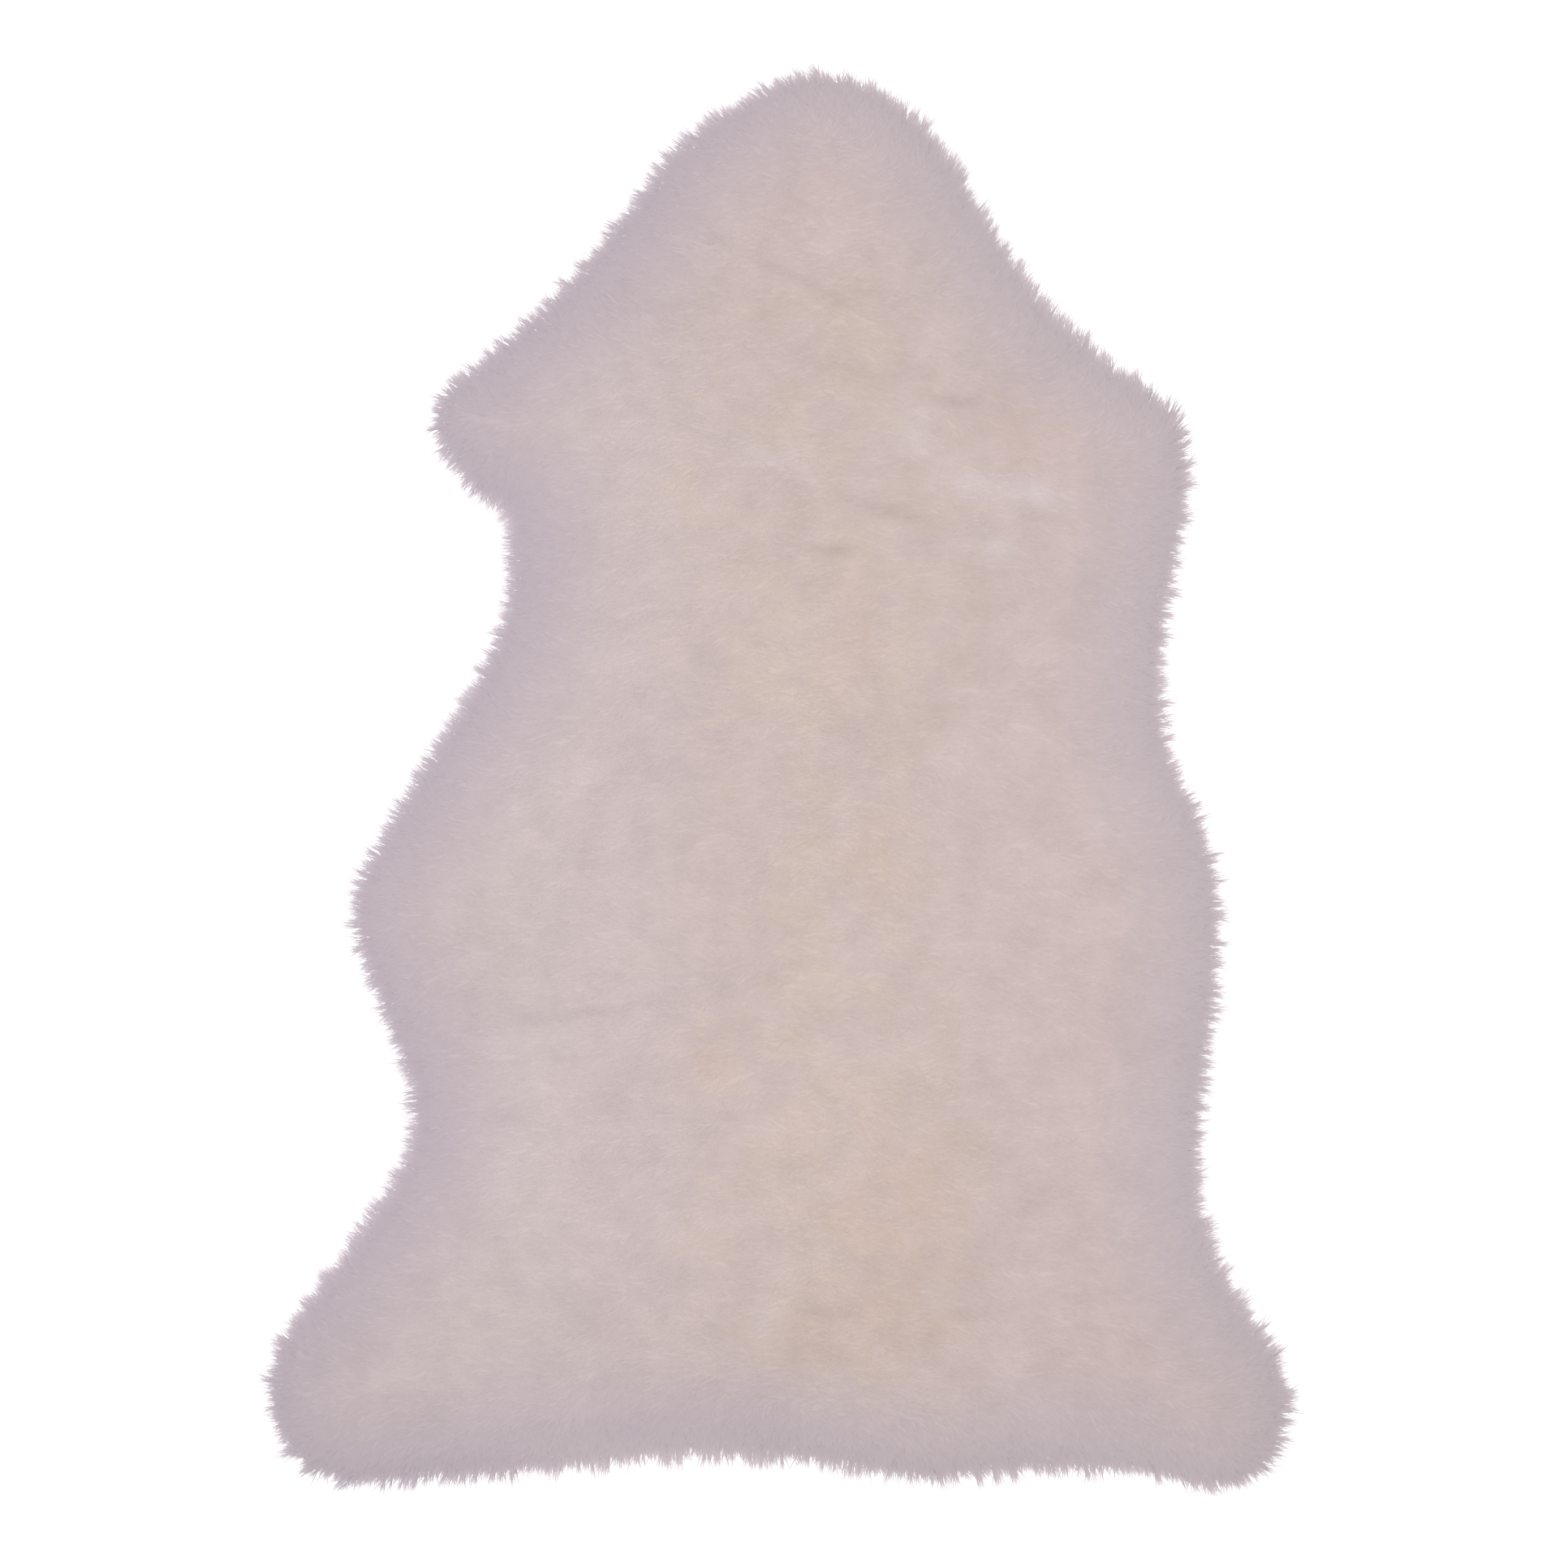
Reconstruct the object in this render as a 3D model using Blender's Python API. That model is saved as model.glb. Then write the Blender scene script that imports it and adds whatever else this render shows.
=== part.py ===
"""A sheepskin rug: one whole pelt that lies flat, wool side up.

X runs across the pelt and Y runs from the rump to the neck. The hide lies on z = 0, and the origin is on it,
midway across and along. Hide and wool are one closed body, because the wool grows out of the hide. The body
is a loft: rings that follow the pelt's outline climb from the hide, out under the overhanging wool to its
widest edge, and over a rounded shoulder onto the broad top of the pile.
"""

import math

import bmesh
import bpy
import numpy as np

# Driving dimensions, in metres.
PELT_LENGTH = 0.950  # tip of the neck to the rump
EDGE_PILE = 0.045  # hide and wool together, just inside the rounded shoulder
CROWN_RISE = 0.004  # how much deeper the wool stands along the back
CROWN_REACH = 0.180  # distance in from the edge at which the wool has its full depth
SHOULDER = 0.046  # width of the band in which the wool rolls over to the edge
EDGE_HEIGHT = 0.006  # height of the widest line of the wool above the floor
OVERHANG = 0.016  # how far the wool hangs out past the hide
SHOULDER_RINGS = 7  # rings across the rounded shoulder
INNER_BAND = 0.062  # where the shoulder's rings end and the gridded top begins
GRID = 0.034  # size of the cells that the top is divided into
CURVE_STEPS = 3  # points that the outline gets between two knots
WELD = 0.0001  # corners closer than this count as one

# The outline from neck to hocks. Each row is a station along the back: how far along it lies, and how far
# across its left and its right edge lie.
STATIONS = (
    (0.455, -0.022, 0.081),
    (0.423, -0.067, 0.113),
    (0.376, -0.104, 0.143),
    (0.320, -0.152, 0.180),
    (0.281, -0.197, 0.223),
    (0.245, -0.232, 0.270),
    (0.210, -0.218, 0.277),
    (0.190, -0.201, 0.277),
    (0.177, -0.183, 0.275),
    (0.150, -0.180, 0.271),
    (0.110, -0.183, 0.263),
    (0.060, -0.204, 0.259),
    (0.015, -0.233, 0.266),
    (-0.030, -0.259, 0.287),
    (-0.085, -0.284, 0.298),
    (-0.155, -0.265, 0.294),
    (-0.230, -0.243, 0.285),
    (-0.290, -0.270, 0.287),
    (-0.345, -0.311, 0.310),
    (-0.390, -0.338, 0.340),
    (-0.435, -0.336, 0.342),
)
NECK_TIP = (0.024, 0.473)

# The rump's wavy edge, from the right hock to the left one: how far across and along each point lies.
RUMP_EDGE = (
    (0.318, -0.473),
    (0.240, -0.466),
    (0.170, -0.464),
    (0.105, -0.471),
    (0.050, -0.462),
    (-0.020, -0.455),
    (-0.080, -0.456),
    (-0.150, -0.464),
    (-0.230, -0.469),
    (-0.305, -0.469),
)

# The middle of the back, which every ring closes in on.
SPINE_ACROSS = 0.010
SPINE_NECK = 0.330
SPINE_RUMP = -0.320

# Places where the pile has been pressed or has parted, as shallow bowls: how far across and along the middle
# of each lies, its radius and its depth.
HOLLOWS = (
    (0.110, 0.190, 0.070, 0.0030),
    (-0.120, -0.155, 0.075, 0.0030),
    (0.050, -0.100, 0.080, 0.0020),
    (0.120, -0.320, 0.070, 0.0025),
    (-0.060, 0.080, 0.085, 0.0020),
    (-0.170, -0.370, 0.075, 0.0020),
)

WOOL_COLOUR = (0.60, 0.50, 0.48, 1.0)
WOOL_ROUGHNESS = 0.95  # matt
SHARP_ANGLE = math.radians(50.0)  # faces that meet at more than this are shaded with an edge between them


def clear_scene():
    for old in list(bpy.data.objects):
        bpy.data.objects.remove(old)


def outline_knots():
    """The outline's knots in order: neck, right side, rump, left side."""
    right_side = [(right, along) for along, left, right in STATIONS]
    left_side = [(left, along) for along, left, right in reversed(STATIONS)]
    return [NECK_TIP, *right_side, *RUMP_EDGE, *left_side]


def smooth_outline(knots):
    """Points along one closed curve through the knots, scaled to the pelt's length and centred."""
    curve = bpy.data.curves.new("outline_curve", "CURVE")
    curve.resolution_u = CURVE_STEPS
    spline = curve.splines.new("BEZIER")
    spline.bezier_points.add(len(knots) - 1)
    spline.use_cyclic_u = True
    for point, (across, along) in zip(spline.bezier_points, knots):
        point.co = (across, along, 0.0)
        point.handle_left_type = "AUTO"
        point.handle_right_type = "AUTO"
    guide = bpy.data.objects.new("outline_guide", curve)
    bpy.context.scene.collection.objects.link(guide)
    graph = bpy.context.evaluated_depsgraph_get()
    mesh = bpy.data.meshes.new_from_object(guide.evaluated_get(graph))
    points = np.array([vertex.co.xy for vertex in mesh.vertices])
    bpy.data.objects.remove(guide)
    lowest = points.min(axis=0)
    highest = points.max(axis=0)
    scale = PELT_LENGTH / (highest[1] - lowest[1])
    return (points - (lowest + highest) / 2) * scale


def drawn_in(outline, distance):
    """The outline with every point moved by this distance towards the middle of the back."""
    along = np.clip(outline[:, 1], SPINE_RUMP, SPINE_NECK)
    spine = np.column_stack([np.full(len(outline), SPINE_ACROSS), along])
    inward = spine - outline
    inward /= np.linalg.norm(inward, axis=1)[:, None]
    return outline + inward * distance


def distance_to_edge(point, outline):
    """The distance from a point to the nearest stretch of the outline."""
    runs = np.roll(outline, -1, axis=0) - outline
    shares = ((point - outline) * runs).sum(axis=1) / (runs * runs).sum(axis=1)
    nearest = outline + runs * np.clip(shares, 0.0, 1.0)[:, None]
    return np.linalg.norm(point - nearest, axis=1).min()


def smooth_step(share):
    share = min(max(share, 0.0), 1.0)
    return share * share * (3.0 - 2.0 * share)


def wool_height(point, outline):
    """Height of the wool above the floor: a quarter ellipse at the edge, then a low crown with hollows."""
    inside = distance_to_edge(point, outline)
    short_of_top = 1.0 - min(inside / SHOULDER, 1.0)
    height = EDGE_HEIGHT + (EDGE_PILE - EDGE_HEIGHT) * math.sqrt(1.0 - short_of_top**2)
    height += CROWN_RISE * smooth_step(inside / CROWN_REACH)
    for across, along, radius, depth in HOLLOWS:
        away = math.hypot(point[0] - across, point[1] - along)
        height -= depth * smooth_step(1.0 - away / radius)
    return height


def add_ring(mesh, points, height):
    return [mesh.verts.new((across, along, height)) for across, along in points]


def join_rings(mesh, low_ring, high_ring):
    count = len(low_ring)
    for i in range(count):
        j = (i + 1) % count
        mesh.faces.new((low_ring[i], low_ring[j], high_ring[j], high_ring[i]))


def grid_the_top(mesh, top_face, outline):
    """Cuts the flat top into square cells, so that it can take the crown and the hollows."""
    top = [top_face, *top_face.edges, *top_face.verts]
    lowest = outline.min(axis=0)
    highest = outline.max(axis=0)
    for axis, facing in ((1, (0.0, 1.0, 0.0)), (0, (1.0, 0.0, 0.0))):
        for place in np.arange(lowest[axis] + GRID, highest[axis], GRID):
            cut_at = [step * place for step in facing]
            top = bmesh.ops.bisect_plane(mesh, geom=top, dist=WELD, plane_co=cut_at, plane_no=facing)["geom"]


def loft_pelt(outline):
    """The closed body: flat hide, overhanging wool, rounded shoulder and gridded top."""
    mesh = bmesh.new()
    hide_ring = add_ring(mesh, drawn_in(outline, OVERHANG), 0.0)
    edge_ring = add_ring(mesh, outline, EDGE_HEIGHT)
    rings = [hide_ring, edge_ring]
    for step in range(1, SHOULDER_RINGS + 1):
        turn = math.radians(90.0) * step / SHOULDER_RINGS
        rings.append(add_ring(mesh, drawn_in(outline, INNER_BAND * (1.0 - math.cos(turn))), EDGE_PILE))
    for low_ring, high_ring in zip(rings, rings[1:]):
        join_rings(mesh, low_ring, high_ring)
    mesh.faces.new(hide_ring)
    grid_the_top(mesh, mesh.faces.new(rings[-1]), outline)
    below_the_wool = {*hide_ring, *edge_ring}
    for vertex in mesh.verts:
        if vertex not in below_the_wool:
            vertex.co.z = wool_height(np.array(vertex.co.xy), outline)
    bmesh.ops.triangulate(mesh, faces=mesh.faces)
    bmesh.ops.recalc_face_normals(mesh, faces=mesh.faces)
    return mesh


def wool_material():
    material = bpy.data.materials.new("wool")
    material.use_nodes = True
    shader = material.node_tree.nodes["Principled BSDF"]
    shader.inputs["Base Color"].default_value = WOOL_COLOUR
    shader.inputs["Roughness"].default_value = WOOL_ROUGHNESS
    shader.inputs["Metallic"].default_value = 0.0
    material.diffuse_color = WOOL_COLOUR
    return material


def build_sheepskin(collection):
    outline = smooth_outline(outline_knots())
    shape = loft_pelt(outline)
    data = bpy.data.meshes.new("sheepskin")
    shape.to_mesh(data)
    shape.free()
    data.materials.append(wool_material())
    data.shade_smooth()
    data.set_sharp_from_angle(angle=SHARP_ANGLE)
    pelt = bpy.data.objects.new("sheepskin", data)
    collection.objects.link(pelt)
    return pelt


def main():
    clear_scene()
    rug = bpy.data.collections.new("sheepskin_rug")
    bpy.context.scene.collection.children.link(rug)
    build_sheepskin(rug)


main()
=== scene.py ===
# %% [markdown]
# # A sheepskin rug
# A sheepskin is one tanned hide with its wool still growing on it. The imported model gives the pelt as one
# plain body: a flat hide below, a rounded edge and a broad top. This lesson keeps that body's size and
# outline and makes what shows: the suede hide underneath, a dense underwool, tens of thousands of combed
# locks laid over it, and the fine single hairs that stand out round the edge.

# %% Load the frame
import math
from collections import namedtuple

import bpy
import numpy as np
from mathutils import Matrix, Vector, noise
from mathutils.kdtree import KDTree


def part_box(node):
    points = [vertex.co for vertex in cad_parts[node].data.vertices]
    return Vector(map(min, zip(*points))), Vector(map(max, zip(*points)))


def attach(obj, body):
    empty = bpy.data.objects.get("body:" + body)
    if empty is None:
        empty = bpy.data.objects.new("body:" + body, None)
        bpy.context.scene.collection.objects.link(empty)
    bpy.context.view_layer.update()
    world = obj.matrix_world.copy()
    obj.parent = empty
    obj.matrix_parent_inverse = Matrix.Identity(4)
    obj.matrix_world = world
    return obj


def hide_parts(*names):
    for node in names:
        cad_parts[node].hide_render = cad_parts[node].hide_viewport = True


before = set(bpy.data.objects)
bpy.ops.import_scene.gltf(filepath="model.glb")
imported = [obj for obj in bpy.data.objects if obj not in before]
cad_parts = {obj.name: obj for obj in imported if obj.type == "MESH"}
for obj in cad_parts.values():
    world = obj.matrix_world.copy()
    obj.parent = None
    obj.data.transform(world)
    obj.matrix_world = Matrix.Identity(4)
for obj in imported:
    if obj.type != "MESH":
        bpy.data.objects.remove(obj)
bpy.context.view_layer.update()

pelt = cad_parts["sheepskin"]
pelt_low, pelt_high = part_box("sheepskin")
pelt_size = pelt_high - pelt_low
print("pelt", [round(side, 4) for side in pelt_size], "m, across, along and deep")

# %% [markdown]
# Operators act on whatever is selected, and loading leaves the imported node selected. These helpers put one
# object in hand at a time, and run a modifier and apply it in one go, as one would from the menus.

# %% Helpers for operators
WELD = 0.00005


def take_up(piece):
    """Makes this object the only selected one, and the active one."""
    bpy.ops.object.select_all(action="DESELECT")
    piece.select_set(True)
    bpy.context.view_layer.objects.active = piece


def apply_modifier(piece, kind, **settings):
    """Puts a modifier on a piece with these settings, and applies it."""
    modifier = piece.modifiers.new(kind.lower(), kind)
    for name, value in settings.items():
        setattr(modifier, name, value)
    take_up(piece)
    bpy.ops.object.modifier_apply(modifier=modifier.name)


def triangles(piece):
    return sum(len(face.vertices) - 2 for face in piece.data.polygons)


def read(collection, name, width):
    """One property of all of a mesh's points, faces or corners, as an array with a row for each."""
    values = np.empty(len(collection) * width, np.float32)
    collection.foreach_get(name, values)
    return values.reshape(-1, width)


def unit(vectors):
    return vectors / np.maximum(np.linalg.norm(vectors, axis=-1, keepdims=True), 1e-9)


def copy_of_pelt(name):
    """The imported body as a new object, with the corners that its loose triangles share merged."""
    piece = bpy.data.objects.new(name, pelt.data.copy())
    bpy.context.scene.collection.objects.link(piece)
    piece.data.materials.clear()
    take_up(piece)
    bpy.ops.object.mode_set(mode="EDIT")
    bpy.ops.mesh.select_all(action="SELECT")
    bpy.ops.mesh.remove_doubles(threshold=WELD)
    bpy.ops.object.mode_set(mode="OBJECT")
    return piece


# %% [markdown]
# The camera hangs straight over the rug and sees a square a little over a metre wide. The rug lies a few
# millimetres off the middle of the view. A long lens keeps the tall edges from leaning outwards.

# %% Camera
VIEW_WIDTH = 1.0506
VIEW_CENTRE = (0.0035, -0.0014)
FOCUS_HEIGHT = 0.010
LENS = 85.0
SENSOR = 36.0

camera_data = bpy.data.cameras.new("camera")
camera_data.lens = LENS
camera_data.sensor_width = SENSOR
camera = bpy.data.objects.new("camera", camera_data)
camera.location = (*VIEW_CENTRE, FOCUS_HEIGHT + VIEW_WIDTH * LENS / SENSOR)
bpy.context.scene.collection.objects.link(camera)
bpy.context.scene.camera = camera
print("camera", round(camera.location.z, 3), "m above the floor")

# %% [markdown]
# The light is that of a white studio: a bright even surround, and one very large panel overhead, a little to
# the left. Wool shows no hard shadow in it, and the pale floor glows just enough to hide the rug's own.
# Standard colour keeps the whites white, where a film-like curve would grey them.

# %% Studio
SURROUND = 0.85
PANEL_SIZE = 3.0
PANEL_HEIGHT = 3.4
PANEL_POWER = 34.0
PANEL_PLACE = (-0.5, 0.4)
PANEL_TILT = (-6.0, -8.0)
FLOOR_SIZE = 30.0
FLOOR_DROP = 0.0006
FLOOR_COLOUR = (0.93, 0.93, 0.93, 1.0)
FLOOR_ROUGHNESS = 0.9
FLOOR_GLOW = 0.15
WHITE = (1.0, 1.0, 1.0, 1.0)

world = bpy.data.worlds.new("studio")
world.use_nodes = True
world.node_tree.nodes["Background"].inputs["Color"].default_value = WHITE
world.node_tree.nodes["Background"].inputs["Strength"].default_value = SURROUND
bpy.context.scene.world = world

panel_data = bpy.data.lights.new("panel", "AREA")
panel_data.size = PANEL_SIZE
panel_data.energy = PANEL_POWER
panel = bpy.data.objects.new("panel", panel_data)
panel.location = (*PANEL_PLACE, PANEL_HEIGHT)
panel.rotation_euler = (math.radians(PANEL_TILT[0]), math.radians(PANEL_TILT[1]), 0.0)
bpy.context.scene.collection.objects.link(panel)

bpy.ops.mesh.primitive_plane_add(size=FLOOR_SIZE, location=(0.0, 0.0, -FLOOR_DROP))
floor = bpy.context.object
floor.name = "floor"
floor_material = bpy.data.materials.new("pale_floor")
floor_material.use_nodes = True
floor_shader = floor_material.node_tree.nodes["Principled BSDF"]
floor_shader.inputs["Base Color"].default_value = FLOOR_COLOUR
floor_shader.inputs["Roughness"].default_value = FLOOR_ROUGHNESS
floor_shader.inputs["Emission Color"].default_value = WHITE
floor_shader.inputs["Emission Strength"].default_value = FLOOR_GLOW
floor.data.materials.append(floor_material)

bpy.context.scene.view_settings.view_transform = "Standard"
bpy.context.scene.view_settings.look = "None"
print("floor", FLOOR_SIZE, "m wide, panel", PANEL_SIZE, "m wide at", PANEL_HEIGHT, "m")

# %% [markdown]
# Everything about the wool depends on how far a spot is from the pelt's edge, and on which way is out. The
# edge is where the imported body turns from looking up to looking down. It is found by the faces on its two
# sides, and kept as short straight runs with the outward direction at each end.

# %% The pelt's edge seen from above
outline_piece = copy_of_pelt("outline")
outline_mesh = outline_piece.data
faces_look_up = {}
for face in outline_mesh.polygons:
    for key in face.edge_keys:
        faces_look_up.setdefault(key, set()).add(face.normal.z > 0.0)
rim_keys = np.array([key for key, looks in faces_look_up.items() if len(looks) == 2])
corner_places = read(outline_mesh.vertices, "co", 3)
corner_normals = read(outline_mesh.vertex_normals, "vector", 3)
rim_starts = corner_places[rim_keys[:, 0], :2]
rim_runs = corner_places[rim_keys[:, 1], :2] - rim_starts
rim_lengths = np.linalg.norm(rim_runs, axis=1)
rim_outwards = unit(corner_normals[rim_keys][:, :, :2])
bpy.data.objects.remove(outline_piece)
print("edge", len(rim_keys), "runs,", round(float(rim_lengths.sum()), 3), "m round")

# %% [markdown]
# Every lock will ask how far off the edge is. A spot is measured against all the runs of the edge at once,
# and a few thousand spots are done at a time, so that the table of distances stays small.

# %% Distance to the edge
SPOTS_AT_ONCE = 4000


def to_edge(places):
    """For places in plan: the distance to the pelt's edge, its nearest spot, and which way is out."""
    distances = np.empty(len(places))
    spots = np.empty((len(places), 2))
    outward = np.empty((len(places), 2))
    for first in range(0, len(places), SPOTS_AT_ONCE):
        batch = slice(first, first + SPOTS_AT_ONCE)
        some = places[batch, None, :]
        shares = np.clip(((some - rim_starts) * rim_runs).sum(-1) / rim_lengths**2, 0.0, 1.0)
        lengths = np.linalg.norm(rim_starts + rim_runs * shares[..., None] - some, axis=-1)
        best = lengths.argmin(1)
        rows = np.arange(len(best))
        share = shares[rows, best][:, None]
        distances[batch] = lengths[rows, best]
        spots[batch] = rim_starts[best] + rim_runs[best] * share
        outward[batch] = rim_outwards[best, 0] * (1.0 - share) + rim_outwards[best, 1] * share
    return distances, spots, unit(outward)


def smooth_step(share):
    share = np.clip(share, 0.0, 1.0)
    return share * share * (3.0 - 2.0 * share)


def way_from(values, start, end):
    """0 at start and 1 at end, turning smoothly between them. Start may be the larger of the two."""
    return smooth_step((values - start) / (end - start))


# %% [markdown]
# The hide is the flesh side of the pelt, a supple sheet about two millimetres thick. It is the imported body's
# flat underside: the rest of a copy is deleted, and Solidify gives the sheet its thickness upwards, so that
# its lower face stays on the floor.

# %% Hide
HIDE_THICKNESS = 0.002
STRAIGHT_DOWN = -0.999

hide = copy_of_pelt("hide")
bpy.ops.object.mode_set(mode="EDIT")
bpy.ops.mesh.select_mode(type="FACE")
bpy.ops.mesh.select_all(action="DESELECT")
bpy.ops.object.mode_set(mode="OBJECT")
for face in hide.data.polygons:
    face.select = face.normal.z > STRAIGHT_DOWN
bpy.ops.object.mode_set(mode="EDIT")
bpy.ops.mesh.delete(type="FACE")
bpy.ops.object.mode_set(mode="OBJECT")
apply_modifier(hide, "SOLIDIFY", thickness=HIDE_THICKNESS, offset=-1.0)
hide_corners = read(hide.data.vertices, "co", 3)

# %% [markdown]
# Under the tips the wool is a dense spongy mass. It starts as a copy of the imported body, remeshed into even
# cells, smoothed, and drawn in by the depth of the loose tips. At this stage it is plain and smooth, and its
# normals are kept, because they will be lent to all the wool later on.

# %% Underwool
TIP_DEPTH = 0.0080
CELL = 0.0040
SMOOTHINGS = 12

underwool = copy_of_pelt("underwool")
apply_modifier(underwool, "REMESH", mode="VOXEL", voxel_size=CELL)
apply_modifier(underwool, "SMOOTH", factor=0.5, iterations=SMOOTHINGS)
apply_modifier(underwool, "DISPLACE", strength=-TIP_DEPTH, mid_level=0.0)
smooth_normals = read(underwool.data.vertex_normals, "vector", 3).astype(float)
smooth_tree = KDTree(len(smooth_normals))
for i, place in enumerate(read(underwool.data.vertices, "co", 3)):
    smooth_tree.insert(place, i)
smooth_tree.balance()
print("underwool", triangles(underwool), "triangles")


def smooth_normal(places):
    """The outward direction of the smooth wool body at the spot nearest to each place."""
    return np.array([smooth_normals[smooth_tree.find(place)[1]] for place in places])


# %% [markdown]
# This pelt has its own marks: creases where the wool has parted, raised tufts, and warm patches where it has
# yellowed. In the colour the creases get painted shade, and the tufts a painted highlight where they would
# catch the light. Each is a soft oval with its place, half its size both ways, its turn in degrees and its
# strength.

# %% The pelt's own marks
Mark = namedtuple("Mark", "across along half_width half_length turn amount")
CREASES = (
    Mark(-0.130, -0.153, 0.046, 0.0045, 8.0, 0.8),
    Mark(0.118, 0.252, 0.018, 0.0045, 0.0, 1.1),
    Mark(0.038, 0.153, 0.016, 0.0045, 0.0, 1.5),
    Mark(0.076, 0.178, 0.032, 0.0050, -15.0, 1.3),
    Mark(0.142, 0.170, 0.014, 0.0045, -25.0, 0.3),
    Mark(0.153, 0.116, 0.012, 0.0035, 30.0, 0.7),
    Mark(0.158, -0.286, 0.012, 0.0035, 20.0, 0.6),
    Mark(0.125, -0.352, 0.014, 0.0040, 0.0, 0.8),
    Mark(0.035, -0.352, 0.018, 0.0045, 0.0, 0.4),
    Mark(0.012, 0.333, 0.050, 0.0040, -27.0, 0.9),
    Mark(0.027, 0.279, 0.036, 0.0040, -22.0, 0.3),
)
RAISED = (
    Mark(0.167, 0.190, 0.026, 0.0085, -8.0, 1.6),
    Mark(0.128, 0.198, 0.010, 0.0080, 0.0, 1.4),
    Mark(0.144, 0.154, 0.012, 0.0085, 0.0, 1.4),
    Mark(0.087, 0.230, 0.010, 0.0120, 20.0, 1.4),
    Mark(0.212, -0.031, 0.008, 0.0110, 0.0, 0.6),
    Mark(-0.147, -0.170, 0.040, 0.0065, 4.0, 0.5),
    Mark(-0.110, 0.070, 0.030, 0.0100, 0.0, 0.2),
    Mark(-0.010, -0.360, 0.010, 0.0160, 0.0, 0.6),
    Mark(-0.010, 0.215, 0.022, 0.0060, -20.0, 0.9),
    Mark(-0.090, 0.135, 0.026, 0.0045, 5.0, 0.5),
    Mark(-0.090, -0.450, 0.090, 0.0140, 0.0, 0.8),
)
WARM_PATCHES = (
    Mark(0.075, -0.290, 0.055, 0.060, 0.0, 0.8),
    Mark(0.050, -0.370, 0.060, 0.030, 0.0, 0.5),
    Mark(0.050, 0.085, 0.016, 0.040, 0.0, 0.7),
    Mark(0.070, -0.050, 0.025, 0.035, 0.0, 0.3),
    Mark(-0.049, -0.178, 0.018, 0.020, 0.0, 0.6),
    Mark(0.022, 0.330, 0.055, 0.045, -20.0, 0.1),
    Mark(0.165, 0.235, 0.035, 0.025, 0.0, 0.9),
)


def marked(places, marks):
    """How strongly the soft oval marks show at each place: 0 off them, a mark's amount at its middle."""
    total = np.zeros(len(places))
    for mark in marks:
        turn = math.radians(mark.turn)
        from_centre = places[:, :2] - (mark.across, mark.along)
        lengthwise = from_centre[:, 0] * math.cos(turn) + from_centre[:, 1] * math.sin(turn)
        crosswise = from_centre[:, 1] * math.cos(turn) - from_centre[:, 0] * math.sin(turn)
        away = (lengthwise / mark.half_width) ** 2 + (crosswise / mark.half_length) ** 2
        total += mark.amount * np.exp(-away)
    return total


print(len(CREASES), "creases,", len(RAISED), "raised tufts,", len(WARM_PATCHES), "warm patches")

# %% [markdown]
# Now the underwool gets its relief. A cloud texture raises low clumps. The creases are pressed in and the
# tufts raised, as far as the wool looks up there. What looks down is set flat, just above the hide.

# %% Relief of the underwool
CLUMP_SIZE = 0.022
CLUMP_HEIGHT = 0.0022
CREASE_DEPTH = 0.0022
TUFT_HEIGHT = 0.0018
HIDE_GAP = 0.0003
LOOKS_DOWN = -0.5

clumps = bpy.data.textures.new("clumps", "CLOUDS")
clumps.noise_scale = CLUMP_SIZE
clumps.noise_depth = 1
apply_modifier(
    underwool, "DISPLACE", texture=clumps, texture_coords="LOCAL", strength=CLUMP_HEIGHT, mid_level=0.5
)
places = read(underwool.data.vertices, "co", 3)
facing = read(underwool.data.vertex_normals, "vector", 3)
on_top = np.clip(facing[:, 2], 0.0, 1.0)
places[:, 2] += on_top * (TUFT_HEIGHT * marked(places, RAISED) - CREASE_DEPTH * marked(places, CREASES))
places[facing[:, 2] < LOOKS_DOWN, 2] = HIDE_THICKNESS + HIDE_GAP
underwool.data.vertices.foreach_set("co", places.ravel())
underwool.data.update()
take_up(underwool)
bpy.ops.object.shade_smooth()
print("underwool", round(float(places[:, 2].max()), 4), "m at its highest")

# %% [markdown]
# The wool's colour will depend on the marks and on how near the edge is, so every corner carries these as
# numbers. The underwool is shaded with the normals of its smooth stage, so its relief barely shows through
# the locks. Those that pointed down are turned level.

# %% What each corner carries
RIM_REACH = 0.090


def put_marks(mesh, places):
    """Notes for the material how near the edge each corner is, and how deep in a mark of each kind."""
    distance = to_edge(places[:, :2])[0]
    values = {
        "rim": smooth_step(1.0 - distance / RIM_REACH),
        "crease": marked(places, CREASES),
        "tuft": marked(places, RAISED),
        "warm": marked(places, WARM_PATCHES),
    }
    for name, value in values.items():
        mesh.attributes.new(name, "FLOAT", "POINT").data.foreach_set("value", value.astype(np.float32))


put_marks(underwool.data, places)
lent = underwool.data.attributes.new("custom_normal", "FLOAT_VECTOR", "POINT")
softened = smooth_normal(places)
softened[:, 2] = np.maximum(softened[:, 2], 0.0)
lent.data.foreach_set("vector", unit(softened).astype(np.float32).ravel())
print("corners marked", len(places))

# %% [markdown]
# Node trees are written as sums. A Wire holds one output of a node, and adding or multiplying two of them
# puts down a Math node. Every other node comes from Board.node, which sets it up first and then its sockets.

# %% Shader maths


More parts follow.
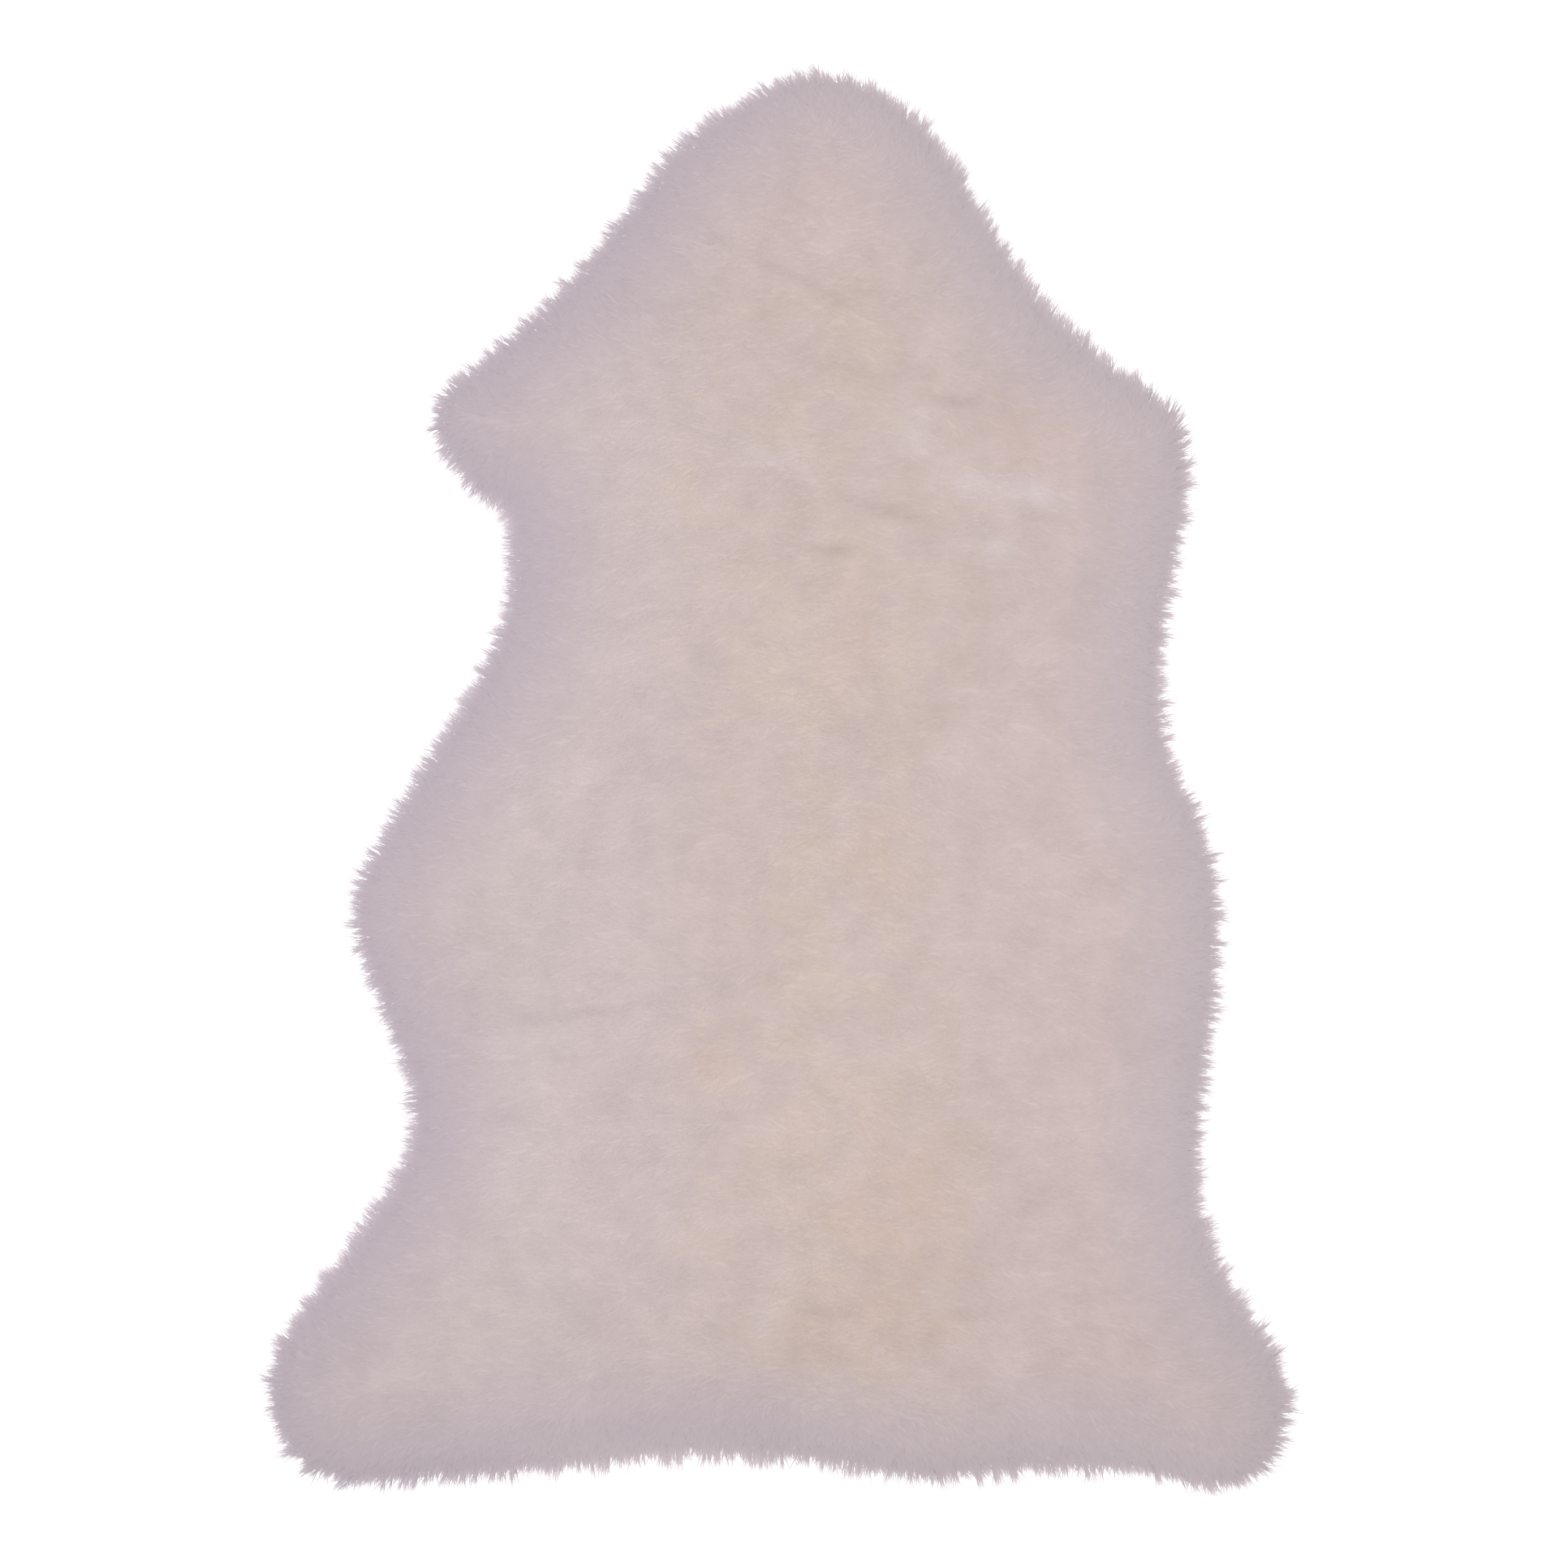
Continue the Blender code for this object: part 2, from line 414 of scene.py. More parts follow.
class Wire:
    """An output socket that can be used in an expression."""

    def __init__(self, board, socket):
        self.board = board
        self.socket = socket

    def math(self, operation, first, second=0.0):
        return self.board.node("ShaderNodeMath", {"operation": operation}, (first, second))

    def __add__(self, other):
        return self.math("ADD", self, other)

    __radd__ = __add__

    def __sub__(self, other):
        return self.math("SUBTRACT", self, other)

    def __rsub__(self, other):
        return self.math("SUBTRACT", other, self)

    def __mul__(self, other):
        return self.math("MULTIPLY", self, other)

    __rmul__ = __mul__

    def __pow__(self, power):
        return self.math("POWER", self, power)

    def also(self, name):
        """Another output of the same node."""
        return Wire(self.board, self.socket.node.outputs[name])

    def ramp(self, start, end):
        """0 before start and 1 after end, turning smoothly between them."""
        settings = {"interpolation_type": "SMOOTHSTEP"}
        sockets = {"Value": self, "From Min": start, "From Max": end}
        return self.board.node("ShaderNodeMapRange", settings, sockets)


class Board:
    """A material's or a modifier's node tree, which nodes are put on."""

    def __init__(self, tree):
        self.tree = tree

    def node(self, kind, settings=(), inputs=(), output=0):
        made = self.tree.nodes.new(kind)
        for name, value in dict(settings).items():
            setattr(made, name, value)
        named = inputs.items() if hasattr(inputs, "items") else enumerate(inputs)
        for key, value in named:
            if isinstance(value, Wire):
                self.tree.links.new(value.socket, made.inputs[key])
            else:
                made.inputs[key].default_value = value
        return None if output is None else Wire(self, made.outputs[output])

    def mark(self, name):
        """One of the numbers that the mesh carries for each corner."""
        return self.node("ShaderNodeAttribute", {"attribute_name": name}, output=2)

    def mix(self, share, first, second):
        """Goes from the first colour to the second as share goes from 0 to 1."""
        settings = {"data_type": "RGBA"}
        return self.node("ShaderNodeMix", settings, {0: share, 6: first, 7: second}, output=2)


# %% [markdown]
# Locks are set out by Geometry Nodes. A Poisson scatter keeps them apart by a set distance, as follicles are,
# and the normal of the underwool is kept on each point, because a lock has to know which way is out. None
# grows on the underside.

# %% Scatter
LOCK_SPACING = 0.00175
SCATTER_DENSITY = 900000.0
SCATTER_SEED = 7
UNDERSIDE_FACING = -0.35
UNDERSIDE_HEIGHT = 0.0035


def scattered(surface, spacing, seed):
    """Places and outward directions of evenly spread points on a surface."""
    group = bpy.data.node_groups.new("scatter", "GeometryNodeTree")
    group.interface.new_socket("Geometry", in_out="INPUT", socket_type="NodeSocketGeometry")
    group.interface.new_socket("Geometry", in_out="OUTPUT", socket_type="NodeSocketGeometry")
    board = Board(group)
    given = board.node("NodeGroupInput")
    spread = board.node(
        "GeometryNodeDistributePointsOnFaces",
        {"distribute_method": "POISSON"},
        {"Mesh": given, "Distance Min": spacing, "Density Max": SCATTER_DENSITY, "Seed": seed},
    )
    kept = board.node(
        "GeometryNodeStoreNamedAttribute",
        {"data_type": "FLOAT_VECTOR", "domain": "POINT"},
        {"Geometry": spread, "Name": "outward", "Value": spread.also("Normal")},
    )
    points = board.node("GeometryNodePointsToVertices", {}, {"Points": kept})
    board.node("NodeGroupOutput", {}, {0: points}, output=None)
    modifier = surface.modifiers.new("scatter", "NODES")
    modifier.node_group = group
    mesh = surface.evaluated_get(bpy.context.evaluated_depsgraph_get()).data
    places = read(mesh.vertices, "co", 3).astype(float)
    directions = read(mesh.attributes["outward"].data, "vector", 3).astype(float)
    surface.modifiers.remove(modifier)
    return places, directions


roots, outwards = scattered(underwool, LOCK_SPACING, SCATTER_SEED)
grows = (outwards[:, 2] > UNDERSIDE_FACING) & (roots[:, 2] > UNDERSIDE_HEIGHT)
roots = roots[grows]
outwards = outwards[grows]
print("locks", len(roots))

# %% [markdown]
# A lock is a pinch of fibres that cling together, thickest below its middle and pointed. One is modelled
# here, a metre long and a metre wide, to be scaled. It is a three-sided cone, and the middle of its base is
# pulled down to a second point, which will sit inside the underwool. It bends where the two halves meet.

# %% One lock
BELLY = 0.42

bpy.ops.object.select_all(action="DESELECT")
bpy.ops.mesh.primitive_cone_add(
    vertices=3,
    radius1=0.5,
    depth=1.0 - BELLY,
    location=(0.0, 0.0, (1.0 + BELLY) / 2),
    end_fill_type="TRIFAN",
)
lock = bpy.context.object
bpy.ops.object.transform_apply(location=True)
middle_of_base = min(lock.data.vertices, key=lambda corner: abs(corner.co.z - BELLY) + corner.co.xy.length)
for part in (*lock.data.vertices, *lock.data.edges, *lock.data.polygons):
    part.select = False
middle_of_base.select = True
bpy.ops.object.mode_set(mode="EDIT")
bpy.ops.mesh.select_mode(type="VERT")
bpy.ops.transform.translate(value=(0.0, 0.0, -BELLY))
bpy.ops.object.mode_set(mode="OBJECT")
lock_shape = read(lock.data.vertices, "co", 3).astype(float)
lock_faces = np.array([list(face.vertices) for face in lock.data.polygons])
lock_looks_up = np.array([1.0 if face.normal.y > 0.0 else -1.0 for face in lock.data.polygons])
lock_side = np.zeros((len(lock_shape), len(lock_shape)), bool)
for edge in lock.data.edges:
    looks = {lock_looks_up[face.index] for face in lock.data.polygons if tuple(edge.key) in face.edge_keys}
    lock_side[edge.key] = len(looks) == 2
bpy.data.objects.remove(lock)
print("one lock", len(lock_shape), "corners,", len(lock_faces), "faces")

# %% [markdown]
# Each copy of the lock bends on its own. Rise and fall are its angles from the surface at the root and at the
# tip, so its middle line is an arc, and every corner of the modelled lock is set off from that arc. A lock
# that would dip into the floor lies flat on it instead, and keeps its thickness.

# %% Bending the locks
FLATNESS = 0.35
LOWEST = 0.0006
LEAST_BEND = 0.001
Locks = namedtuple("Locks", "roots grown gentle combed length width rise fall curl tint fringe")


def lock_corners(locks):
    """The places of all the corners of all the locks, one lock after another."""
    combed = unit(locks.combed - locks.grown * (locks.combed * locks.grown).sum(1)[:, None])
    beside = np.cross(locks.grown, combed)
    length = locks.length[:, None]
    width = locks.width[:, None]
    rise = locks.rise[:, None]
    bend = locks.fall[:, None] - rise
    bend = np.where(np.abs(bend) < LEAST_BEND, LEAST_BEND, bend)
    share = lock_shape[:, 2]
    angle = rise + bend * share
    lift = width * lock_shape[:, 1] * FLATNESS
    forward = length * (np.sin(angle) - np.sin(rise)) / bend - lift * np.sin(angle)
    upward = length * (np.cos(rise) - np.cos(angle)) / bend + lift * np.cos(angle)
    sideways = length * locks.curl[:, None] * share**2 + width * lock_shape[:, 0]
    corners = (
        locks.roots[:, None, :]
        + forward[..., None] * combed[:, None, :]
        + upward[..., None] * locks.grown[:, None, :]
        + sideways[..., None] * beside[:, None, :]
    )
    lowest = LOWEST + width * FLATNESS * (lock_shape[:, 1] - lock_shape[:, 1].min())
    corners[..., 2] = np.maximum(corners[..., 2], lowest)
    return corners.reshape(-1, 3)


# %% [markdown]
# All the copies of one region are joined in one mesh. They are shaded with the gentle normals of the smooth
# wool body, which is what gives a fleece its soft, even glow instead of a glitter of facets. Where the upper
# and the lower faces of a lock meet, the edge is marked sharp, so that each keeps its own normal.

# %% Laying the locks
UNDERSIDE_DEPTH = 0.6
FIBRE_SHIFT = (7.0, 5.0)


def mesh_of_locks(name, corners, faces):
    mesh = bpy.data.meshes.new(name)
    mesh.vertices.add(len(corners))
    mesh.vertices.foreach_set("co", corners.astype(np.float32).ravel())
    mesh.loops.add(faces.size)
    mesh.loops.foreach_set("vertex_index", faces.astype(np.int32).ravel())
    mesh.polygons.add(len(faces))
    mesh.polygons.foreach_set("loop_start", np.arange(0, faces.size, 3, dtype=np.int32))
    mesh.update(calc_edges=True)
    return mesh


def lend_normals(mesh, gentle):
    """Gives the upper faces of each lock its gentle normal, and the lower ones that normal turned down."""
    shading = np.repeat(gentle, len(lock_faces), axis=0)
    shading[:, 2] *= np.tile(np.where(lock_looks_up > 0.0, 1.0, -UNDERSIDE_DEPTH), len(gentle))
    shading = np.repeat(unit(shading), 3, axis=0)
    normals = mesh.attributes.new("custom_normal", "FLOAT_VECTOR", "CORNER")
    normals.data.foreach_set("vector", shading.astype(np.float32).ravel())
    ends = np.empty(len(mesh.edges) * 2, np.int32)
    mesh.edges.foreach_get("vertices", ends)
    ends = np.sort(ends.reshape(-1, 2) % len(lock_shape), axis=1)
    on_side = lock_side[ends[:, 0], ends[:, 1]]
    mesh.attributes.new("sharp_edge", "BOOLEAN", "EDGE").data.foreach_set("value", on_side)


def map_fibres(mesh, locks, faces):
    """A UV map that runs across and along each lock, with a different stretch of pattern for each."""
    across = (lock_shape[:, 0] * locks.width[:, None] + locks.roots[:, :1] * FIBRE_SHIFT[0]).ravel()
    along = (lock_shape[:, 2] * locks.length[:, None] + locks.roots[:, 1:2] * FIBRE_SHIFT[1]).ravel()
    places = np.column_stack([across, along])[faces.ravel()]
    mesh.uv_layers.new(name="fibre").uv.foreach_set("vector", places.astype(np.float32).ravel())


def lay_locks(name, locks):
    """Copies of the lock in one mesh, with what the material needs on every corner."""
    count = len(locks.roots)
    corners = lock_corners(locks)
    starts = np.arange(count)[:, None, None] * len(lock_shape)
    faces = (lock_faces[None, :, :] + starts).reshape(-1, 3)
    mesh = mesh_of_locks(name, corners, faces)
    lend_normals(mesh, locks.gentle)
    map_fibres(mesh, locks, faces)
    put_marks(mesh, corners)
    own_marks = {
        "tip": np.tile(lock_shape[:, 2], count),
        "tint": np.repeat(locks.tint, len(lock_shape)),
        "fringe": np.repeat(locks.fringe, len(lock_shape)),
    }
    for mark, values in own_marks.items():
        mesh.attributes.new(mark, "FLOAT", "POINT").data.foreach_set("value", values.astype(np.float32))
    piece = bpy.data.objects.new(name, mesh)
    bpy.context.scene.collection.objects.link(piece)
    piece.visible_shadow = False
    piece.visible_diffuse = False
    print(name, count, "locks,", len(faces), "triangles")
    return piece


# %% [markdown]
# Neighbouring locks aren't strangers. Slow noise swings them about together, and the cells of a Voronoi noise
# gather them in clumps that lie alike.

# %% Noise for combing
CLUMP_SHUFFLE = 13.7


def noise_vectors(places, scale, offset):
    """Smooth noise, a vector for each place."""
    shift = Vector((offset, offset * 1.7, offset * 0.3))
    return np.array([noise.noise_vector(Vector(place) / scale + shift) for place in places])


def clump_of(places, scale):
    """For each place, the middle of its clump, and a random vector that the clump shares."""
    centres = np.array([noise.voronoi(Vector(place) / scale)[1][0] for place in places])
    shared = np.array([noise.cell_vector(Vector(centre) * CLUMP_SHUFFLE) for centre in centres])
    return centres * scale, shared * 2.0 - 1.0


# %% [markdown]
# Wool is combed. Along the back it lies crosswise, away from the parting and a little towards the rump. Near
# the edge it turns outwards. On the neck it leans towards the tip, more on the right side than on the left,
# and on the rump it fans out.

# %% Combing
PARTING = 0.03
PARTING_BLUR = 0.03
RUMPWARD = 0.12
EDGE_BAND = 0.075
EDGE_PULL = 1.4
NECK_BAND = (0.15, 0.25)
NECK_LEAN = 0.60
NECK_MIDDLE = 0.02
LEFT_NECK_LEAN = 0.35
RUMP_BAND = (-0.38, -0.44)
RUMP_FAN = 2.2
SWIRL = 0.045
SWIRL_PULL = 0.75
SWIRL_SEED = 3.0
CLUMP = 0.0085
CLUMP_PULL = 0.28
GATHER_PULL = 0.25
STRAY_PULL = 0.18
random = np.random.default_rng(11)

lock_count = len(roots)
level = np.zeros(lock_count)
edge_distance, edge_spot, edge_outward = to_edge(roots[:, :2])
edge_share = smooth_step(1.0 - edge_distance / EDGE_BAND)
side = np.where(roots[:, 0] + PARTING_BLUR * random.normal(size=lock_count) > PARTING, 1.0, -1.0)
crosswise = np.column_stack([side, np.full(lock_count, -RUMPWARD), level])
neck = way_from(roots[:, 1], *NECK_BAND) * np.where(roots[:, 0] > NECK_MIDDLE, 1.0, LEFT_NECK_LEAN)
rump = way_from(roots[:, 1], *RUMP_BAND)
to_rim = edge_outward.copy()
to_rim[:, 0] += -edge_outward[:, 1] * NECK_LEAN * neck + RUMP_FAN * roots[:, 0] * rump
to_rim[:, 1] += edge_outward[:, 0] * NECK_LEAN * neck
to_rim = unit(to_rim)
clump_centre, clump = clump_of(roots, CLUMP)

combed = crosswise * (1.0 - edge_share[:, None])
combed[:, :2] += to_rim * edge_share[:, None] * EDGE_PULL
swirl = noise_vectors(roots, SWIRL, SWIRL_SEED) * (1.0 - 0.5 * edge_share[:, None])
combed = unit(combed) + SWIRL_PULL * swirl
combed += CLUMP_PULL * clump + STRAY_PULL * random.normal(size=combed.shape)
combed += GATHER_PULL * (clump_centre - roots) / CLUMP
combed[:, 2] = 0.0
combed = unit(combed)
print("combed to the left", int((combed[:, 0] < 0.0).sum()), "of", lock_count)

# %% [markdown]
# No two locks are the same length or bend alike, but those of a clump are closer to each other. Every lock
# grows mostly upwards, also on the walls, so that it hangs over the edge as wool does. Its gentle normal is
# that of the smooth body, lifted so that it looks up a little even on a wall.

# %% Sizes and bends
LOCK_LENGTH = 0.0150
LENGTH_SPREAD = 0.15
LENGTH_BY_CLUMP = 0.10
LOCK_WIDTH = 0.0017
WIDTH_RANGE = (0.7, 1.3)
RISE = 24.0
RISE_LOST_AT_EDGE = 2.0
FALL = -6.0
FALL_AT_EDGE = 6.0
FALL_BY_CLUMP = 3.0
ANGLE_SPREAD = 4.0
CURL = 0.15
TINT = 0.6
LEAST_LOOKING_UP = 0.15
LIFT_OF_NORMALS = 0.8
UPRIGHT = 3.0

length_factor = 1.0 + LENGTH_SPREAD * random.normal(size=lock_count)
length = LOCK_LENGTH * length_factor * (1.0 + LENGTH_BY_CLUMP * clump[:, 2])
width = LOCK_WIDTH * random.uniform(*WIDTH_RANGE, lock_count)
rise = RISE - RISE_LOST_AT_EDGE * edge_share + ANGLE_SPREAD * random.normal(size=lock_count)
rise = np.radians(rise)
fall = FALL - FALL_AT_EDGE * edge_share + ANGLE_SPREAD * random.normal(size=lock_count)
fall = np.radians(fall + FALL_BY_CLUMP * clump[:, 0])
curl = CURL * random.normal(size=lock_count)
tint = TINT * random.normal(size=lock_count) + TINT * clump[:, 1]
gentle = smooth_normal(roots)
gentle[:, 2] = np.maximum(gentle[:, 2], LEAST_LOOKING_UP) + LIFT_OF_NORMALS
gentle = unit(gentle)
grown = unit(outwards + np.array([0.0, 0.0, UPRIGHT]))
print("locks from", round(float(length.min()), 4), "to", round(float(length.max()), 4), "m long")

# %% [markdown]
# At the very edge the tips of neighbouring locks cling together in points, some longer than others. Cells of
# a Voronoi noise along the edge say which locks share a tuft. Each tuft's point lies just inside or past the
# edge, where its locks lean. On the right side and along the rump the tufts are looser, so their reach varies
# more, but not at the tip of the neck.

# %% Tufts round the edge
FRINGE_START = 0.020
FRINGE_FULL = 0.013
TUFT_WIDTH = 0.0045
INSET = 0.009
REACH_LEAST = -0.0005
REACH_MOST = 0.0075
REACH_SKEW = 1.3
LOOSE_REACH = 0.0015
LOOSE_RIGHT = (-0.10, 0.02)
LOOSE_RUMP = (-0.43, -0.45)
TIGHT_NECK = (0.42, 0.38)
LEAST_LEAN = 0.8

in_fringe = way_from(edge_distance, FRINGE_START, FRINGE_FULL)
cells = np.array([noise.voronoi(Vector((*spot, 0.0)) / TUFT_WIDTH)[1][0] for spot in edge_spot])
_, tuft_of = np.unique(np.round(cells, 3), axis=0, return_inverse=True)
tuft_of = tuft_of.ravel()
tuft_size = np.bincount(tuft_of)
tuft_spot = np.column_stack([np.bincount(tuft_of, edge_spot[:, axis]) / tuft_size for axis in (0, 1)])
tuft_lean = unit(np.column_stack([np.bincount(tuft_of, to_rim[:, axis]) for axis in (0, 1)]))
tuft_out = unit(np.column_stack([np.bincount(tuft_of, edge_outward[:, axis]) for axis in (0, 1)]))
tuft_luck = random.uniform(0.0, 1.0, len(tuft_size)) ** REACH_SKEW
looseness = way_from(tuft_spot[:, 0], *LOOSE_RIGHT) + way_from(tuft_spot[:, 1], *LOOSE_RUMP)
looseness = np.clip(looseness, 0.0, 1.0) * way_from(tuft_spot[:, 1], *TIGHT_NECK)
reach_least = REACH_LEAST - LOOSE_REACH * looseness
reach_most = REACH_MOST + LOOSE_REACH * looseness
tuft_reach = reach_least + (reach_most - reach_least) * tuft_luck
tuft_run = (INSET + tuft_reach) / np.clip((tuft_lean * tuft_out).sum(1), LEAST_LEAN, 1.0)
tuft_point = tuft_spot - tuft_out * INSET + tuft_lean * tuft_run[:, None]
print("tufts round the edge", len(tuft_size))

# %% [markdown]
# Each lock of a tuft is turned and stretched to the tuft's own point. One in three stays short and points
# straight out, so that no floor shows between the tufts' roots.

# %% Aiming the edge's locks
SHORT_SHARE = 0.32
SHORT_BY_DISTANCE = 0.60
SHORT_LENGTHS = (0.004, 0.012)
SHORT_BREADTH = 1.25
AIMED_RANGE = (0.68, 1.08)
AIMED_LENGTHS = (0.005, 0.024)
AIM_SCATTER = 0.05
EDGE_CURL_LOST = 0.6
EDGE_FALL = 6.0
EDGE_SLIMMING = 0.25

short = (random.uniform(size=lock_count) < SHORT_SHARE) & (in_fringe > 0.5)
to_point = tuft_point[tuft_of] - roots[:, :2]
point_away = np.linalg.norm(to_point, axis=1)
straight_out = np.column_stack([to_rim, level])
aimed = np.column_stack([to_point / point_away[:, None], level])
aimed = np.where(short[:, None], straight_out, aimed)
aimed_length = np.clip(point_away * random.uniform(*AIMED_RANGE, lock_count), *AIMED_LENGTHS)
aimed_length = np.where(short, np.clip(edge_distance * SHORT_BY_DISTANCE, *SHORT_LENGTHS), aimed_length)
aimed += AIM_SCATTER * random.normal(size=aimed.shape)
combed = unit(combed * (1.0 - in_fringe[:, None]) + aimed * in_fringe[:, None])
combed[:, 2] = 0.0
length = length * (1.0 - in_fringe) + aimed_length * in_fringe
curl = curl * (1.0 - EDGE_CURL_LOST * in_fringe)
fall = fall - np.radians(EDGE_FALL) * in_fringe
fringe = in_fringe * ~short
width = width * (1.0 - EDGE_SLIMMING * fringe) * np.where(short, SHORT_BREADTH, 1.0)
print("short locks at the edge", int(short.sum()))

# %% [markdown]
# Past the tufts stand single long hairs, finer than any lock. They are what makes the edge of a fleece look
# soft, because the floor shows between them. They are the same lock again, a third as wide and laid singly.
# Most cling to a tuft and draw its point out, and the others stray.

# %% Single hairs round the edge
HAIR_WIDTH = 0.0006
HAIR_WIDTH_RANGE = (0.6, 1.4)
HAIR_REACH = 0.0070
HAIR_REACH_RANGE = (-0.3, 1.0)
HAIR_LENGTHS = (0.006, 0.024)
HAIR_SCATTER = 0.30
HAIR_RISE = 14.0
HAIR_FALL = -12.0
HAIR_ANGLE_SPREAD = 8.0
CLINGING_SHARE = 0.6
CLINGING_RANGE = (0.95, 1.30)

by_edge = np.flatnonzero(in_fringe > 0.5)
hair_count = len(by_edge)
clinging = random.uniform(size=hair_count) < CLINGING_SHARE
stray_way = straight_out[by_edge] + HAIR_SCATTER * random.normal(size=(hair_count, 3))
stray_length = edge_distance[by_edge] + HAIR_REACH * random.uniform(*HAIR_REACH_RANGE, hair_count)
hair_way = np.where(clinging[:, None], aimed[by_edge], stray_way)
hair_way[:, 2] = 0.0
cling_length = point_away[by_edge] * random.uniform(*CLINGING_RANGE, hair_count)
hairs = Locks(
    roots=roots[by_edge],
    grown=grown[by_edge],
    gentle=gentle[by_edge],
    combed=hair_way,
    length=np.clip(np.where(clinging, cling_length, stray_length), *HAIR_LENGTHS),
    width=HAIR_WIDTH * random.uniform(*HAIR_WIDTH_RANGE, hair_count),
    rise=np.radians(HAIR_RISE + HAIR_ANGLE_SPREAD * random.normal(size=hair_count)),
    fall=np.radians(HAIR_FALL + HAIR_ANGLE_SPREAD * random.normal(size=hair_count)),
    curl=CURL * random.normal(size=hair_count),
    tint=tint[by_edge],
    fringe=np.ones(hair_count),
)
print("single hairs", hair_count)

# %% [markdown]
# The wool is laid region by region, from the neck to the hocks, so that no mesh grows too large. Each region
# is a band across the pelt, from one place along the back to the next.

# %% All the locks, region by region
REGIONS = (
    ("fleece_neck", 0.255, 0.60),
    ("fleece_shoulders", 0.115, 0.255),
    ("fleece_back", -0.020, 0.115),
    ("fleece_loin", -0.150, -0.020),
    ("fleece_rump", -0.275, -0.150),
    ("fleece_thighs", -0.385, -0.275),
    ("fleece_hocks", -0.60, -0.385),
)
locks = Locks(roots, grown, gentle, combed, length, width, rise, fall, curl, tint, fringe)
fleece = [lay_locks("fleece_fringe", hairs)]
for name, low, high in REGIONS:
    here = (roots[:, 1] >= low) & (roots[:, 1] < high)
    fleece.append(lay_locks(name, Locks(*(values[here] for values in locks))))

# %% [markdown]
# Undyed wool is never one colour. Along the back it is creamy, on the left it is pale and on the right it has
# a faint pink cast. Towards the edge the colour is painted darker and cooler, bluer on the left: painted shade
# where the edge rolls away from the light. Where one zone ends and the next starts is a pair of places across
# or along the pelt, and noise makes the borders wander.

# %% Wool colours


def linear(red, green, blue):
    """A colour given as on a paint card, from 0 to 255, as light."""
    return tuple(((value / 255.0 + 0.055) / 1.055) ** 2.4 for value in (red, green, blue)) + (1.0,)


PALE = linear(205, 190, 190)
ROSE = linear(205, 187, 185)
CREAM = linear(205, 188, 180)
TAN = linear(205, 183, 171)
# Painted highlight for the raised tufts.
TUFT_HIGHLIGHT = linear(216, 202, 202)
# Painted shade for the edge: darker, cooler rim colours, bluer on the left.
SHADED_RIM_LEFT = linear(190, 177, 185)
SHADED_RIM_RIGHT = linear(195, 182, 187)

PALE_TO_ROSE = (-0.17, 0.03)
BACK_LEFT = (-0.100, 0.010)
BACK_RIGHT = (0.080, 0.190)
BACK_NECK = (0.29, 0.39)
BACK_RUMP = (-0.44, -0.37)
RIM_SHADE_LEFT_TO_RIGHT = (-0.12, 0.12)
PATCH_SCALE = 27.0
PATCH_EDGES = (0.38, 0.62)
BROAD_WANDER = 0.14
SMALL_WANDER = 0.06


def wool_colour(board, place, broad, small):
    """The zones, the warm patches, the painted shade of the rim and the painted highlight on the raised tufts.
    """
    across = board.node("ShaderNodeSeparateXYZ", {}, (place,))
    along = across.also("Y")
    wander = (broad - 0.5) * BROAD_WANDER + (small - 0.5) * SMALL_WANDER
    wavy_across = across + wander
    wavy_along = along + wander
    over_back = wavy_across.ramp(*BACK_LEFT) * (1.0 - wavy_across.ramp(*BACK_RIGHT))
    over_back = over_back * (1.0 - wavy_along.ramp(*BACK_NECK)) * wavy_along.ramp(*BACK_RUMP)
    patches = board.node("ShaderNodeTexNoise", {}, {"Vector": place, "Scale": PATCH_SCALE, "Detail": 3.0})
    patchy = patches.ramp(*PATCH_EDGES)
    painted_rim_shade = board.mix(across.ramp(*RIM_SHADE_LEFT_TO_RIGHT), SHADED_RIM_LEFT, SHADED_RIM_RIGHT)
    colour = board.mix(across.ramp(*PALE_TO_ROSE), PALE, ROSE)
    colour = board.mix(over_back * (0.45 + 0.55 * patchy), colour, CREAM)
    colour = board.mix(board.mark("warm") * (0.4 + 0.6 * patchy), colour, TAN)
    # Painted shade: towards the edge the wool is mixed into the darker, cooler rim colours.
    colour = board.mix(board.mark("rim"), colour, painted_rim_shade)
    # Painted highlight: the raised tufts are mixed towards a lighter colour.
    return board.mix(board.mark("tuft") * 0.5, colour, TUFT_HIGHLIGHT)


# %% [markdown]
# Over the colours lies a shade that is close to 1 everywhere: the mottling of the pile, painted shade in the
# creases, and the hind part and the neck a little darker than the back. The mottling fades out towards the
# rim.
# Each lock adds a small shift of its own, and painted shade at its root that pales towards its tip. Round the
# edge the tips are painted much lighter, a painted glow of light shining through them.

# %% Wool shade
BASE_SHADE = 0.990
WISP_STRETCH = (1.0, 3.2, 1.0)
WISP_SCALE = 55.0
WISP_MOTTLE = 0.07
SMALL_MOTTLE = 0.20
BROAD_MOTTLE = 0.13
MOTTLE_LOST_AT_RIM = 0.8
CREASE_SHADE = 0.09
RUMP_TO_BACK = (-0.43, -0.26)
RUMP_SHADE = 0.048
BACK_TO_NECK = (0.12, 0.32)
NECK_SHADE = 0.022
TINT_STRENGTH = 0.010
TIP_MIDDLE = 0.6
# Painted shade at each lock's root, lighter towards its tip.
ROOT_SHADE_STRENGTH = 0.04
# Painted glow at the tips round the edge, standing in for light shining through them.
FRINGE_PAINTED_GLOW = 0.60


